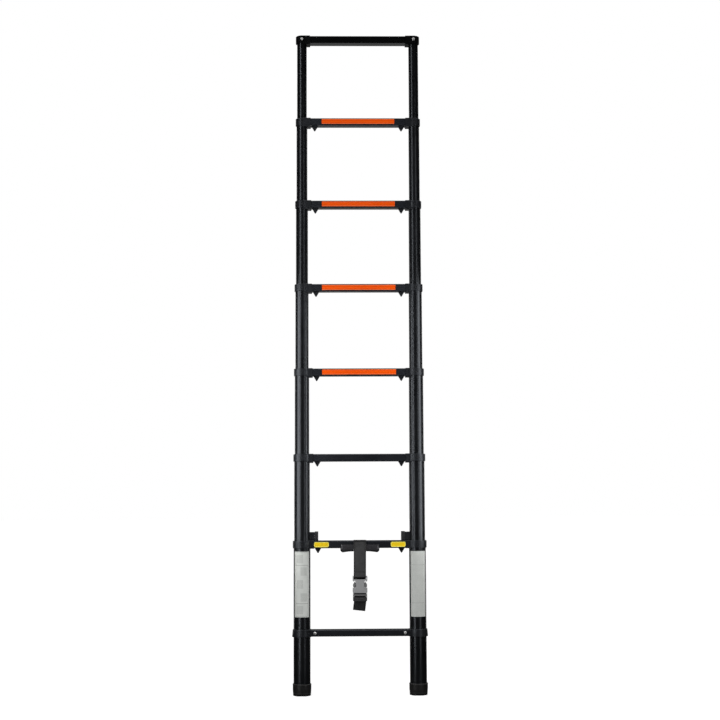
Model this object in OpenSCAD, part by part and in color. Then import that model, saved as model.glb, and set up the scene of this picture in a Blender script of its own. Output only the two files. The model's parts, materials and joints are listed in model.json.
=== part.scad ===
/* [Ladder] */
// Height from one rung to the next, from the second rung to the seventh
rung_pitch = 295; // [262:1:354]
// Height from the bottom rung to the second
bottom_pitch = 298; // [262:1:358]
// Height from the seventh rung to the top one
top_pitch = 298; // [262:1:358]
// Height of the bottom rung's middle above the floor
first_rung_z = 208; // [160:1:260]
// Distance between the middles of the two stiles
stile_spacing = 395; // [329:1:480]
// Length of each tube that stays inside the one below it
tube_overlap = 70; // [50:1:90]

/* [Tubes] */
// Outside diameter of the lowest and widest tubes
base_tube_od = 57.4; // [55:0.2:70]
// Wall thickness of every tube
tube_wall = 1.4; // [1:0.1:1.6]
// Running clearance between a tube and the one inside it, on the radius
tube_gap = 0.55; // [0.4:0.05:0.7]

/* [Rungs] */
// Depth of a rung from front to back
rung_d = 38; // [28:1:44]
// Height of a rung, with its tread ribs
rung_h = 25.8; // [22:0.2:32]
// Height of the bottom rung, with its tread ribs
bottom_rung_h = 22.6; // [18:0.5:24]
// Wall thickness of the rung's hollow section
rung_wall = 1.8; // [1.2:0.1:2.4]
// Radius of the rung's long edges
rung_edge_r = 3; // [2.5:0.5:5]
// Height of the ribs along the tread
rib_h = 0.7; // [0.4:0.1:1]
// Width of one tread rib
rib_w = 1.6; // [1:0.1:2]
// Distance between tread ribs
rib_pitch = 3.4; // [3:0.1:4]

/* [Collars] */
// Height of a collar
collar_h = 25; // [24:0.5:34]
// Thickness of a collar outside the tube that it sits on
collar_wall = 3; // [2:0.1:5]
// Thickness of the bottom rung's clamp outside its tube
clamp_wall = 5; // [3:0.1:7]
// How much narrower the clamp is at its top, on the radius
clamp_taper = 2; // [0:0.1:2.5]
// Thickness of the collar's top lip, which guides the tube above
collar_lip = 4; // [2:0.5:6]
// Chamfer on the rims of the collars
rim_chamfer = 1; // [0.4:0.1:1.5]
// How far a rung's end stands off its tube
rung_seat = 5.5; // [5.5:0.5:7]
// How far a collar's sleeve reaches along the rung, from the tube
sleeve_reach = 12; // [10:0.5:14]
// How far a sleeve hangs below its rung
sleeve_drop = 4; // [2:0.5:6]
// How far a sleeve stands proud of the rung elsewhere
sleeve_wall = 1.2; // [1:0.1:2]
// Diameter of the round recess on the front and back of a collar
dimple_d = 10; // [8:0.5:12]

/* [Plungers] */
// Distance from a collar's tube to the middle of its plunger
plunger_offset = 26; // [25.5:0.5:30]
// Width of a plunger where it leaves the rung
plunger_w = 22; // [16:0.5:22]
// How far a plunger points down below its rung
plunger_drop = 16.5; // [12:0.5:17]
// Thickness of a plunger from front to back
plunger_t = 12; // [8:0.5:16]
// Radius of a plunger's tip
plunger_tip_r = 2.5; // [1:0.5:3]

/* [Releases] */
// Length of a release housing along its rung
housing_l = 17.5; // [13:0.5:22]
// Height of a release housing above its rung
housing_h = 29; // [24:1:32]
// Length of a release knob along its rung
knob_l = 12; // [10:0.5:16]
// Height of a release knob above its rung
knob_h = 31; // [26:1:34]
// Depth of the release housings and knobs
release_d = 20; // [16:1:24]
// How far a release knob slides towards the middle
knob_travel = 8; // [6:0.5:10]
// Radius of the upper edges of the housings and knobs
release_edge_r = 2.5; // [1:0.5:4]

/* [Top caps] */
// Thickness of a cap outside its tube
cap_wall = 4.5; // [3:0.1:6]
// Height of a cap above its rung's middle
cap_rise = 13.5; // [13:0.5:20]
// Radius of a cap's top edge
cap_edge_r = 2; // [1:0.5:4]

/* [Feet] */
// Height of a foot
foot_h = 39; // [30:1:60]
// Thickness of a foot outside its tube
foot_wall = 2.8; // [2:0.1:4]
// Thickness of a foot below its tube
foot_floor = 9; // [7:0.5:14]
// Height of the slanted faces at the front and back of the sole
sole_bevel_h = 11; // [4:0.5:14]
// Depth of the slanted faces at the sole
sole_bevel_d = 4; // [2:0.5:6]

/* [Bands and plates] */
// Length of the coloured band on a rung's front
band_l = 255; // [180:1:255]
// Height of the coloured band
band_h = 17.5; // [12:0.5:17.5]
// Thickness of bands and tube labels
film_t = 0.4; // [0.3:0.1:0.6]
// Width of a tube label, measured straight across
label_w = 48; // [30:1:50]
// Length of a tube label
label_l = 220; // [120:1:220]
// Distance from the collar above to a tube label
label_gap = 11; // [8:1:16]
// Length of a release plate on the second rung
plate_l = 50; // [36:1:56]
// Height of a release plate
plate_h = 17; // [12:0.5:17.5]
// Thickness of a release plate
plate_t = 1.6; // [1:0.1:2]
// Width of a release plate's raised rim
plate_rim = 1.3; // [0.8:0.1:2]

/* [Strap] */
// Width of the webbing
webbing_w = 42; // [38:1:43]
// Thickness of the webbing
webbing_t = 2; // [1.5:0.1:2.5]
// Length of the folded bundle of webbing on the rung
bundle_l = 133; // [100:1:160]
// How far the ends of the bundle hang below the rung's middle
bundle_drop = 27; // [22:1:30]
// How far the bundle hangs below the rung's middle beside the strap
bundle_waist = 23.5; // [20:0.5:25]
// Thickness of the folded bundle
bundle_t = 5; // [3:0.5:5.5]
// Length of webbing between the rung and the buckle
strap_l = 91; // [60:1:110]
// Length of webbing below the buckle
tail_l = 32; // [20:1:60]

/* [Buckle] */
// Width of the buckle
buckle_w = 50; // [49:0.5:56]
// Height of the buckle's upper half
socket_h = 57; // [55:1:64]
// Height of the buckle's lower half below the joint
plug_h = 28; // [26:1:34]
// Thickness of the buckle
buckle_t = 12; // [11:0.5:12.5]
// Height of the upper half's slot for the webbing
socket_slot_h = 7; // [6:0.5:8]
// Height of each of the lower half's slots
plug_slot_h = 5.8; // [5:0.2:6.4]
// Width of the upper half between its side windows
socket_waist = 28; // [26:0.5:32]
// Lower end of the side windows, above the joint
window_low = 17; // [16:0.5:20]
// Upper end of the side windows, above the joint
window_high = 42; // [41:0.5:43]

/* [Hidden] */

// The lowest rung is 1 and the highest is 8; tube 1 carries rungs 1 and 2
top_rung = 8;
// Gap between pieces of one section that are pressed or glued together
seat_gap = 0.05;
// Gap between a guide and what slides in it
slide_gap = 0.35;
// How far a cutting shape runs past the surface that it cuts
cut = 1;
// Facets of large and of small round shapes
round_fn = 96;
small_fn = 32;

// Tongues that hold the rungs' ends, and the clearance round them
tongue_reach = 10;
clamp_tongue = 24;
tongue_gap = 0.5;
// Radius of a sleeve's inner edges
sleeve_edge_r = 1.5;
dimple_depth = 0.8;
rivet_d = 6;

// Screws
screw_d = 10;
screw_h = 2.6;
screw_rim_h = 1;
screw_crown_d = 6;
recess_l = 5.5;
recess_w = 1.2;
screw_offset = 16;
screw_boss = 0.8;

// The flange that keeps a plunger in its rung, and the tip's taper
plunger_flange = 1.5;
plunger_flange_h = 1.8;
plunger_tip_t = 8;

// Guide pin and stem of a release knob, and the grooves of its grip
guide_d = 6;
guide_bore_depth = 11.5;
stem_d = 6;
stem_inset = 3;
grip_grooves = 4;
groove_w = 1.2;
groove_depth = 0.8;
plate_recess = 0.5;
// How far a housing reaches round the tube that slides past it
housing_wrap = 1;
plate_corner_r = 5;

// Rim of a foot and the tread of its sole
foot_rim_h = 3;
foot_rim_t = 0.5;
foot_edge = 0.8;
foot_base_inset = 1;
sole_h = 7;
sole_step = 0.4;
sole_pitch = 10;
sole_groove = 3;
sole_depth = 2;

// Radius of the bundle's lower corners, and of the loop round the rung
bundle_r = 8;
loop_r = 2;
// How far the two layers of webbing run on together past the buckle
stitch_l = 15;
stitch_run = 5;

// Buckle: its frame, and the bars that the webbing goes round
buckle_r = 3;
buckle_crown_r = 130;
webbing_play = 0.7;
slot_r = 0.6;
socket_bar_h = 5;
socket_bar_t = 5;
crossbar_h = 3;
crossbar_t = 3;
lower_bar_back = 2.5;
plug_inset = 1;
plug_slot_top = 0.5;
plug_t = 7.6;
ridges = 3;
ridge_pitch = 2.6;
ridge_r = 0.5;

// Inside of the buckle, and what of the lower half reaches into it
cavity_w = 41;
cavity_t = 6.4;
cavity_top = 41.6;
prong_t = 5.6;
prong_x = 11.5;
prong_w = 3;
prong_base = 4;
guide_rib_w = 4;
guide_rib_top = 26;
notch = 4.5;
window_slope = 7;
tab_gap = 1;
tab_inset = 3;
tab_t = 9;
tab_r = 12;
catch_w = 2.2;
catch_drop = 3.5;

metal = "#17181a";
plastic = "#1c1d20";
rubber = "#151515";
screw_steel = "#b9bcc0";
band_colour = "#e0520f";
plate_colour = "#d9c02a";
label_colour = "#c4cac6";
webbing_colour = "#26272a";
buckle_colour = "#3a3b3e";

function tube_r(k) = base_tube_od / 2 - (k - 1) * (tube_wall + tube_gap);
function rung_z(k) =
    k == 1 ? first_rung_z
    : k == top_rung ? rung_z(k - 1) + top_pitch
    : first_rung_z + bottom_pitch + (k - 2) * rung_pitch;
function rung_height(k) = k == 1 ? bottom_rung_h : rung_h;
// The tube that a rung is mounted on
function carrier(k) = max(1, k - 1);
function rung_end(k) = tube_r(carrier(k)) + rung_seat;
function rung_length(k) = stile_spacing - 2 * rung_end(k);
function tube_top(k) =
    k == top_rung - 1 ? rung_z(top_rung) + cap_bore_top : rung_z(k + 1) + collar_h / 2 - collar_lip;
function tube_bottom(k) = k == 1 ? foot_floor : rung_z(k) - tube_overlap;

rung_top = rung_h / 2 - rib_h;
rung_inner_top = rung_top - rung_wall;
rung_inner_bottom = -rung_h / 2 + rung_wall;
cap_bore_top = cap_rise - collar_lip;
collar_top = max(collar_h / 2, rung_h / 2 + sleeve_wall);
release_floor = rung_z(2) + rung_h / 2;
release_start = tube_r(2) - housing_wrap;
knob_start = release_start + housing_l + slide_gap;
guide_z = release_floor + housing_h / 2;
bundle_front = rung_d / 2 + seat_gap + bundle_t;
webbing_back = bundle_front + 2 * seat_gap;
strap_y = -webbing_back - webbing_t / 2;
strap_top = rung_z(2) - rung_h / 2 - 2 * seat_gap - webbing_t - seat_gap;
// The buckle's middle plane, with its upper bar just behind the webbing
buckle_y = strap_y + webbing_t / 2 + seat_gap + socket_bar_t / 2;
buckle_joint = strap_top - strap_l - socket_h;
plug_joint = buckle_joint - seat_gap;

// Draws its children at the left stile and mirrored at the right one,
// with +X pointing from the stile towards the middle of the ladder
module each_stile() {
    at_left() children();
    at_right() children();
}

module at_left() {
    translate([-stile_spacing / 2, 0, 0]) children();
}

module at_right() {
    mirror([1, 0, 0]) at_left() children();
}

module rounded_rect(w, h, r) {
    square([w - 2 * r, h], center = true);
    square([w, h - 2 * r], center = true);
    for (x = [-1, 1], y = [-1, 1])
        translate([x * (w / 2 - r), y * (h / 2 - r)]) circle(r, $fn = small_fn);
}

// Extrudes a profile drawn as (depth, height) along the ladder's width
module along_x(length) {
    rotate([90, 0, 90]) linear_extrude(length) children();
}

// Extrudes a profile drawn as (across, height) from front to back, half of it each way
module along_y(half_t) {
    translate([0, half_t, 0]) rotate([90, 0, 0]) linear_extrude(2 * half_t) children();
}

// A box given by its two corners
module block(low, high) {
    translate(low) cube(high - low);
}

// A box from x_low to x_high with rounded long edges, between two heights
module bar(x_low, x_high, d, z_low, z_high, r) {
    translate([x_low, 0, (z_low + z_high) / 2]) along_x(x_high - x_low)
        rounded_rect(d, z_high - z_low, r);
}

// Tubes

module tubes(k) {
    length = tube_top(k) - tube_bottom(k);
    color(metal) each_stile() translate([0, 0, tube_bottom(k)]) difference() {
        cylinder(h = length, r = tube_r(k), $fn = round_fn);
        translate([0, 0, -cut])
            cylinder(h = length + 2 * cut, r = tube_r(k) - tube_wall, $fn = round_fn);
    }
}

// Rungs

module rung_profile(h) {
    body_h = h - rib_h;
    ribs = floor((rung_d - 2 * rung_edge_r - rib_w) / (2 * rib_pitch));
    translate([0, -rib_h / 2]) difference() {
        union() {
            rounded_rect(rung_d, body_h, rung_edge_r);
            for (i = [-ribs : ribs])
                translate([i * rib_pitch - rib_w / 2, 0]) square([rib_w, body_h / 2 + rib_h]);
        }
        rounded_rect(rung_d - 2 * rung_wall, body_h - 2 * rung_wall, rung_edge_r - rung_wall / 2);
    }
}

module rung(k) {
    color(metal) translate([-rung_length(k) / 2, 0, rung_z(k)]) difference() {
        along_x(rung_length(k)) rung_profile(rung_height(k));
        if (k > 1 && k < top_rung) {
            plunger_slot(plunger_offset - rung_seat);
            plunger_slot(rung_length(k) - plunger_offset + rung_seat);
        }
        if (k == 2) {
            knob_slot(knob_start - rung_end(2));
            knob_slot(rung_length(2) + rung_end(2) - knob_start - knob_l - knob_travel);
        }
    }
}

module plunger_slot(x) {
    half_l = plunger_w / 2 + slide_gap;
    half_d = plunger_t / 2 + slide_gap;
    block([x - half_l, -half_d, -rung_h], [x + half_l, half_d, rung_inner_bottom + cut]);
}

module knob_slot(x) {
    half_d = stem_d / 2 + slide_gap;
    block([x + stem_inset - slide_gap, -half_d, rung_inner_top - cut],
        [x + knob_l - stem_inset + knob_travel + slide_gap, half_d, rung_h]);
}

// Collars

// A solid round the stile, from z_low to z_high, with chamfered rims
module chamfered_ring(r_low, r_high, z_low, z_high) {
    rotate_extrude($fn = round_fn) polygon([
        [0, z_low], [r_low - rim_chamfer, z_low], [r_low, z_low + rim_chamfer],
        [r_high, z_high - rim_chamfer], [r_high - rim_chamfer, z_high], [0, z_high]
    ]);
}

// The sleeve that a rung's end sits in, for a tube of radius r
module sleeve_body(r, drop) {
    bar(0, r + sleeve_reach, rung_d + 2 * sleeve_wall, -rung_h / 2 - drop, rung_h / 2 + sleeve_wall,
        sleeve_edge_r + sleeve_wall);
}

// The tongue that fills the end of a rung of height h, from x = 0
module tongue(length, h) {
    inset = 2 * (rung_wall + tongue_gap);
    translate([0, 0, -rib_h / 2]) along_x(length)
        rounded_rect(rung_d - inset, h - rib_h - inset, rung_edge_r);
}

// The rung's space in a sleeve, with the tongue left standing in it
module rung_socket(r) {
    half_h = rung_h / 2 + seat_gap;
    difference() {
        bar(r + rung_seat, r + sleeve_reach + cut, rung_d + 2 * seat_gap, -half_h, half_h, sleeve_edge_r);
        tongue(r + tongue_reach, rung_h);
    }
}

module collar(k) {
    lower_r = tube_r(k - 1);
    upper_r = tube_r(k);
    ring_r = lower_r + collar_wall;
    drop = k == 2 ? sleeve_wall : sleeve_drop;
    translate([0, 0, rung_z(k)]) difference() {
        union() {
            chamfered_ring(ring_r, ring_r, -collar_h / 2, collar_h / 2);
            sleeve_body(lower_r, drop);
        }
        rung_socket(lower_r);
        translate([0, 0, -collar_h]) cylinder(
            h = collar_h * 1.5 - collar_lip, r = lower_r + seat_gap, $fn = round_fn);
        cylinder(h = collar_h, r = upper_r + slide_gap, $fn = round_fn);
        dimple(ring_r);
        mirror([0, 1, 0]) dimple(ring_r);
    }
}

// A round recess with a rivet head in its middle
module dimple(r) {
    translate([0, -r - cut, 0]) rotate([-90, 0, 0]) difference() {
        cylinder(h = cut + dimple_depth, d = dimple_d, $fn = small_fn);
        translate([0, 0, cut]) cylinder(h = dimple_depth, d = rivet_d, $fn = small_fn);
    }
}

module collars(k) {
    color(plastic) each_stile() collar(k);
}

module bottom_collars() {
    r = tube_r(1);
    color(plastic) each_stile() translate([0, 0, rung_z(1)]) difference() {
        union() {
            chamfered_ring(r + clamp_wall, r + clamp_wall - clamp_taper, -collar_h / 2, collar_h / 2);
            bar(0, r + rung_seat - seat_gap, rung_d, -bottom_rung_h / 2, bottom_rung_h / 2, rung_edge_r);
            tongue(r + clamp_tongue, bottom_rung_h);
        }
        translate([0, 0, -collar_h]) cylinder(h = 2 * collar_h, r = r + seat_gap, $fn = round_fn);
    }
}

// A domed screw head with a cross recess, pointing forwards from y = 0
module screw_head() {
    rotate([90, 0, 0]) difference() {
        rotate_extrude($fn = small_fn) polygon([
            [0, 0], [screw_d / 2, 0], [screw_d / 2, screw_rim_h], [screw_crown_d / 2, screw_h], [0, screw_h]
        ]);
        for (a = [0, 90]) rotate([0, 0, a])
            translate([-recess_l / 2, -recess_w / 2, screw_rim_h]) cube([recess_l, recess_w, screw_h]);
    }
}

module rung_screws() {
    color(screw_steel) each_stile()
        translate([tube_r(1) + screw_offset, -rung_d / 2 - seat_gap, rung_z(1)]) screw_head();
}

// Plungers

// Outline of a plunger as (across, up), with the rung's underside at 0
module plunger_outline() {
    top = rung_wall + slide_gap + plunger_flange_h;
    half_w = plunger_w / 2;
    tip_z = plunger_tip_r - plunger_drop;
    // Direction from the tip's centre to where the slanted side touches the tip
    a = atan2(-tip_z, half_w) - acos(plunger_tip_r / norm([half_w, tip_z]));
    side_x = plunger_tip_r * cos(a);
    side_z = tip_z + plunger_tip_r * sin(a);
    polygon([[-half_w, 0], [-half_w, top], [half_w, top], [half_w, 0], [side_x, side_z], [-side_x, side_z]]);
    translate([0, tip_z]) circle(plunger_tip_r, $fn = small_fn);
}

// A plunger seen along its rung, thinner at the tip, as (depth, up)
module plunger_side() {
    top = rung_wall + slide_gap + plunger_flange_h;
    polygon([
        [-plunger_t / 2, 0], [-plunger_t / 2, top], [plunger_t / 2, top], [plunger_t / 2, 0],
        [plunger_tip_t / 2, -plunger_drop - cut], [-plunger_tip_t / 2, -plunger_drop - cut]
    ]);
}

module plunger(k) {
    flange_z = rung_wall + slide_gap;
    half_l = plunger_w / 2 + plunger_flange;
    half_d = plunger_t / 2 + plunger_flange;
    color(plastic) translate([tube_r(k - 1) + plunger_offset, 0, rung_z(k) - rung_h / 2]) {
        intersection() {
            along_y(plunger_t) plunger_outline();
            translate([-plunger_w, 0, 0]) along_x(2 * plunger_w) plunger_side();
        }
        block([-half_l, -half_d, flange_z], [half_l, half_d, flange_z + plunger_flange_h]);
    }
}

module plungers(k) {
    each_stile() plunger(k);
}

// Releases

module release_housing() {
    half_d = release_d / 2;
    end = release_start + housing_l;
    difference() {
        union() {
            bar(release_start, end, release_d, rung_z(2) + collar_top + seat_gap,
                release_floor + housing_h, release_edge_r);
            block([tube_r(1) + sleeve_reach + seat_gap, -half_d, release_floor + seat_gap],
                [end, half_d, guide_z]);
        }
        translate([end - guide_bore_depth, 0, guide_z]) rotate([0, 90, 0])
            cylinder(h = housing_l, d = guide_d + 2 * slide_gap, $fn = small_fn);
        translate([0, 0, release_floor])
            cylinder(h = 2 * housing_h, r = tube_r(2) + slide_gap, $fn = round_fn);
    }
}

module release_housings() {
    color(plastic) each_stile() release_housing();
}

module release_knob() {
    low = release_floor + slide_gap;
    groove_step = (knob_l - groove_w - 2 * groove_depth) / (grip_grooves - 1);
    color(plastic) {
        difference() {
            bar(knob_start, knob_start + knob_l, release_d, low, release_floor + knob_h, release_edge_r);
            for (i = [0 : grip_grooves - 1], y = [-1, 1] * release_d / 2)
                translate([knob_start + groove_depth + i * groove_step, y - groove_depth, low - cut])
                    cube([groove_w, 2 * groove_depth, knob_h - release_edge_r]);
        }
        translate([knob_start - guide_bore_depth + cut, 0, guide_z]) rotate([0, 90, 0])
            cylinder(h = guide_bore_depth, d = guide_d, $fn = small_fn);
        block([knob_start + stem_inset, -stem_d / 2, rung_z(2) + rung_inner_top - cut],
            [knob_start + knob_l - stem_inset, stem_d / 2, low + cut]);
    }
}

module release_plates() {
    x = tube_r(1) + sleeve_reach + 1 + plate_l / 2;
    color(plate_colour) each_stile()
        translate([x, -rung_d / 2 - seat_gap, rung_z(2) - rib_h / 2]) rotate([90, 0, 0]) difference() {
            linear_extrude(plate_t) rounded_rect(plate_l, plate_h, plate_corner_r);
            translate([0, 0, plate_t - plate_recess]) linear_extrude(plate_t)
                rounded_rect(plate_l - 2 * plate_rim, plate_h - 2 * plate_rim, plate_corner_r - plate_rim);
        }
}

// Top caps

module cap_body(cap_r) {
    rotate_extrude($fn = round_fn) {
        polygon([
            [0, -collar_h / 2], [cap_r - rim_chamfer, -collar_h / 2], [cap_r, -collar_h / 2 + rim_chamfer],
            [cap_r, cap_rise - cap_edge_r], [0, cap_rise - cap_edge_r]
        ]);
        square([cap_r - cap_edge_r, cap_rise]);
        translate([cap_r - cap_edge_r, cap_rise - cap_edge_r]) intersection() {
            circle(cap_edge_r, $fn = small_fn);
            square(cap_edge_r);
        }
    }
}

module top_cap() {
    r = tube_r(top_rung - 1);
    cap_r = r + cap_wall;
    translate([0, 0, rung_z(top_rung)]) difference() {
        union() {
            cap_body(cap_r);
            sleeve_body(r, sleeve_drop);
            rotate([90, 0, 0]) cylinder(h = cap_r + screw_boss, d = screw_d + 4, $fn = small_fn);
        }
        rung_socket(r);
        translate([0, 0, -collar_h])
            cylinder(h = collar_h + cap_bore_top + seat_gap, r = r + seat_gap, $fn = round_fn);
    }
}

module top_caps() {
    color(plastic) each_stile() top_cap();
}

module cap_screws() {
    y = -(tube_r(top_rung - 1) + cap_wall + screw_boss + seat_gap);
    color(screw_steel) each_stile() translate([0, y, rung_z(top_rung)]) screw_head();
}

// Feet

module foot_body(foot_r) {
    base_r = foot_r - foot_base_inset;
    rim_r = foot_r + foot_rim_t;
    rotate_extrude($fn = round_fn) polygon([
        [0, 0], [base_r - sole_step - foot_edge, 0], [base_r - sole_step, foot_edge],
        [base_r - sole_step, sole_h], [base_r, sole_h], [foot_r, foot_h / 2],
        [foot_r, foot_h - foot_rim_h], [rim_r, foot_h - foot_rim_h],
        [rim_r, foot_h - foot_edge], [rim_r - foot_edge, foot_h], [0, foot_h]
    ]);
}

// The wedge that gives a foot its slanted toe
module toe_cut(foot_r) {
    toe = foot_base_inset + sole_bevel_d - foot_r;
    outside = -2 * foot_r;
    translate([outside, 0, 0]) along_x(4 * foot_r)
        polygon([[outside, -cut], [toe, -cut], [toe, 0], [-foot_r, sole_bevel_h], [outside, sole_bevel_h]]);
}

module foot() {
    r = tube_r(1);
    foot_r = r + foot_wall;
    difference() {
        foot_body(foot_r);
        translate([0, 0, foot_floor]) cylinder(h = foot_h, r = r + seat_gap, $fn = round_fn);
        toe_cut(foot_r);
        mirror([0, 1, 0]) toe_cut(foot_r);
        for (y = [-1.5 * sole_pitch : sole_pitch : 2 * sole_pitch])
            translate([-base_tube_od, y - sole_groove / 2, -cut])
                cube([2 * base_tube_od, sole_groove, cut + sole_depth]);
    }
}

module feet() {
    color(rubber) each_stile() foot();
}

// Bands and labels

module band(k) {
    z = rung_z(k) + rung_top - rung_edge_r - band_h;
    y = -rung_d / 2 - seat_gap;
    color(band_colour) block([-band_l / 2, y - film_t, z], [band_l / 2, y, z + band_h]);
}

module tube_label() {
    r = tube_r(1) + seat_gap;
    top = rung_z(2) - collar_h / 2 - label_gap;
    translate([0, 0, top - label_l]) intersection() {
        difference() {
            cylinder(h = label_l, r = r + film_t, $fn = round_fn);
            translate([0, 0, -cut]) cylinder(h = label_l + 2 * cut, r = r, $fn = round_fn);
        }
        translate([-label_w / 2, -base_tube_od, -cut]) cube([label_w, base_tube_od, label_l + 2 * cut]);
    }
}

module tube_labels() {
    color(label_colour) each_stile() tube_label();
}

// Strap

module strap_loop() {
    inner_half_h = rung_h / 2 + 2 * seat_gap;
    inner_back = rung_d / 2 + 2 * seat_gap;
    depth = inner_back + webbing_back;
    color(webbing_colour)
        translate([-webbing_w / 2, (inner_back - webbing_back) / 2, rung_z(2)]) along_x(webbing_w)
            difference() {
                rounded_rect(depth + 2 * webbing_t, 2 * (inner_half_h + webbing_t), loop_r + webbing_t);
                rounded_rect(depth, 2 * inner_half_h, loop_r);
            }
}

// Outline of the folded bundle, as (across, up) from the rung's middle
module bundle_outline() {
    end = bundle_l / 2;
    waist = webbing_w / 2;
    lobe = end - bundle_r;
    difference() {
        union() {
            translate([-end, -bundle_drop + bundle_r]) square([bundle_l, bundle_drop - bundle_r]);
            for (side = [-1, 1]) translate([side * lobe, -bundle_drop + bundle_r])
                circle(bundle_r, $fn = small_fn);
            polygon([
                [-lobe, 0], [-lobe, -bundle_drop], [-lobe + bundle_r, -bundle_drop],
                [-waist, -bundle_waist], [waist, -bundle_waist],
                [lobe - bundle_r, -bundle_drop], [lobe, -bundle_drop], [lobe, 0]
            ]);
        }
        translate([-waist - cut, -bundle_drop - cut])
            square([webbing_w + 2 * cut, bundle_drop + cut - rung_h / 2 + loop_r]);
    }
}

module strap_bundle() {
    color(webbing_colour) translate([0, bundle_t / 2 - bundle_front, rung_z(2)])
        along_y(bundle_t / 2) bundle_outline();
}

// Webbing seen from its side: flat runs through (depth, height) points, with rounded folds
module webbing_run(points) {
    for (i = [1 : len(points) - 1]) {
        step = points[i] - points[i - 1];
        translate(points[i - 1]) rotate(atan2(step[1], step[0]))
            translate([0, -webbing_t / 2]) square([norm(step), webbing_t]);
        if (i > 1) translate(points[i - 1]) circle(webbing_t / 2, $fn = small_fn);
    }
}

// The upper length goes down over the socket's bar, back through its slot, up behind it and
// is sewn to itself; the tail goes round the plug's crossbar in the same way and hangs free
module strap_webbing() {
    fold = webbing_t / 2 + seat_gap;
    socket_top = buckle_joint + socket_h;
    socket_fold = socket_top - socket_bar_h - fold;
    behind_socket = buckle_y + socket_bar_t / 2 + fold;
    crossbar_top = plug_joint - plug_slot_top - plug_slot_h;
    over_crossbar = buckle_y - crossbar_t / 2 - fold;
    behind_plug = buckle_y + lower_bar_back + fold;
    // Layers that are sewn together lie this far apart
    sewn = webbing_t - seat_gap;
    color(webbing_colour) translate([-webbing_w / 2, 0, 0]) along_x(webbing_w) {
        webbing_run([
            [strap_y, strap_top], [strap_y, socket_fold], [behind_socket, socket_fold],
            [behind_socket, socket_top], [strap_y + sewn, socket_top + stitch_l],
            [strap_y + sewn, socket_top + stitch_l + stitch_run]
        ]);
        webbing_run([
            [behind_plug, plug_joint - plug_h + stitch_run], [behind_plug, crossbar_top - crossbar_h - fold],
            [over_crossbar, crossbar_top - crossbar_h - fold], [over_crossbar, crossbar_top + fold],
            [behind_plug + sewn, crossbar_top + fold],
            [behind_plug + sewn, plug_joint - plug_h - tail_l]
        ]);
    }
}

// Buckle, drawn as (across, up) from the middle of the joint between its halves

// A slot for the webbing, with its upper edge at z
module buckle_slot(z, h) {
    translate([0, z - h / 2]) rounded_rect(webbing_w + 2 * webbing_play, h, slot_r);
}

// The open window at the right side of the socket, with the notch above it
module socket_window() {
    shoulder = buckle_w / 2;
    polygon([
        [socket_waist / 2, window_low], [buckle_w, window_low], [buckle_w, window_high - tab_gap],
        [shoulder, window_high - tab_gap], [shoulder - notch, window_high - tab_gap - notch],
        [shoulder - notch - catch_w, window_high], [socket_waist / 2, window_high - window_slope]
    ]);
}

module socket_outline() {
    difference() {
        translate([0, socket_h / 2]) rounded_rect(buckle_w, socket_h, buckle_r);
        socket_window();
        mirror([1, 0]) socket_window();
        buckle_slot(socket_h - socket_bar_h, socket_slot_h);
    }
}

// The space in front of or behind a bar, up to the buckle's faces
module bar_recess(half_t, z_low, z_high) {
    half_w = webbing_w / 2 + webbing_play;
    block([-half_w, half_t, z_low], [half_w, buckle_t, z_high]);
}

module buckle_socket() {
    half_t = buckle_t / 2;
    bar_low = socket_h - socket_bar_h - socket_slot_h / 2;
    color(buckle_colour) translate([0, buckle_y, buckle_joint]) difference() {
        intersection() {
            along_y(half_t) socket_outline();
            crown(half_t);
            mirror([0, 1, 0]) crown(half_t);
        }
        block([-cavity_w / 2, -cavity_t / 2, -cut], [cavity_w / 2, cavity_t / 2, cavity_top]);
        for (side = [0, 1]) mirror([0, side, 0])
            bar_recess(socket_bar_t / 2, bar_low, socket_h + cut);
    }
}

// The buckle's faces are crowned across its width
module crown(half_t) {
    translate([0, buckle_crown_r - half_t, -cut])
        cylinder(h = socket_h + 2 * cut, r = buckle_crown_r, $fn = 2 * round_fn);
}

// The release tab that shows in the right side window, as (across, up)
module tab_outline() {
    tab_x = socket_waist / 2 + tab_inset;
    tab_low = window_low + tab_gap;
    intersection() {
        translate([tab_x, tab_low]) square([tab_r, window_high - window_slope + tab_gap - tab_low]);
        translate([buckle_w / 2 - tab_gap - tab_r, (window_low + window_high - 2 * notch) / 2])
            circle(tab_r, $fn = 2 * small_fn);
    }
}

// The right spring arm with its release tab and its catch
module plug_arm() {
    tab_x = socket_waist / 2 + tab_inset;
    tab_low = window_low + tab_gap;
    arm_top = window_high - window_slope;
    along_y(prong_t / 2) {
        translate([prong_x, 0]) square([prong_w, arm_top]);
        translate([prong_x, tab_low]) square([tab_x + tab_gap - prong_x, arm_top - tab_low]);
        translate([tab_x, arm_top - tab_gap]) square([catch_w, window_slope - catch_drop]);
    }
    along_y(tab_t / 2) tab_outline();
}

module plug_frame() {
    half_t = plug_t / 2;
    lower_slot = -plug_slot_top - plug_slot_h - crossbar_h;
    slots_bottom = lower_slot - plug_slot_h;
    difference() {
        along_y(half_t) difference() {
            translate([0, -plug_h / 2]) rounded_rect(buckle_w - 2 * plug_inset, plug_h, buckle_r);
            buckle_slot(-plug_slot_top, plug_slot_h);
            buckle_slot(lower_slot, plug_slot_h);
        }
        for (side = [0, 1]) mirror([0, side, 0])
            bar_recess(crossbar_t / 2, lower_slot - cut, lower_slot + crossbar_h + cut);
        bar_recess(lower_bar_back, -plug_h - cut, slots_bottom + cut);
    }
    for (i = [1 : ridges]) translate([-webbing_w / 2, -half_t, -plug_h + i * ridge_pitch])
        rotate([0, 90, 0]) cylinder(h = webbing_w, r = ridge_r, $fn = small_fn);
}

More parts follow.
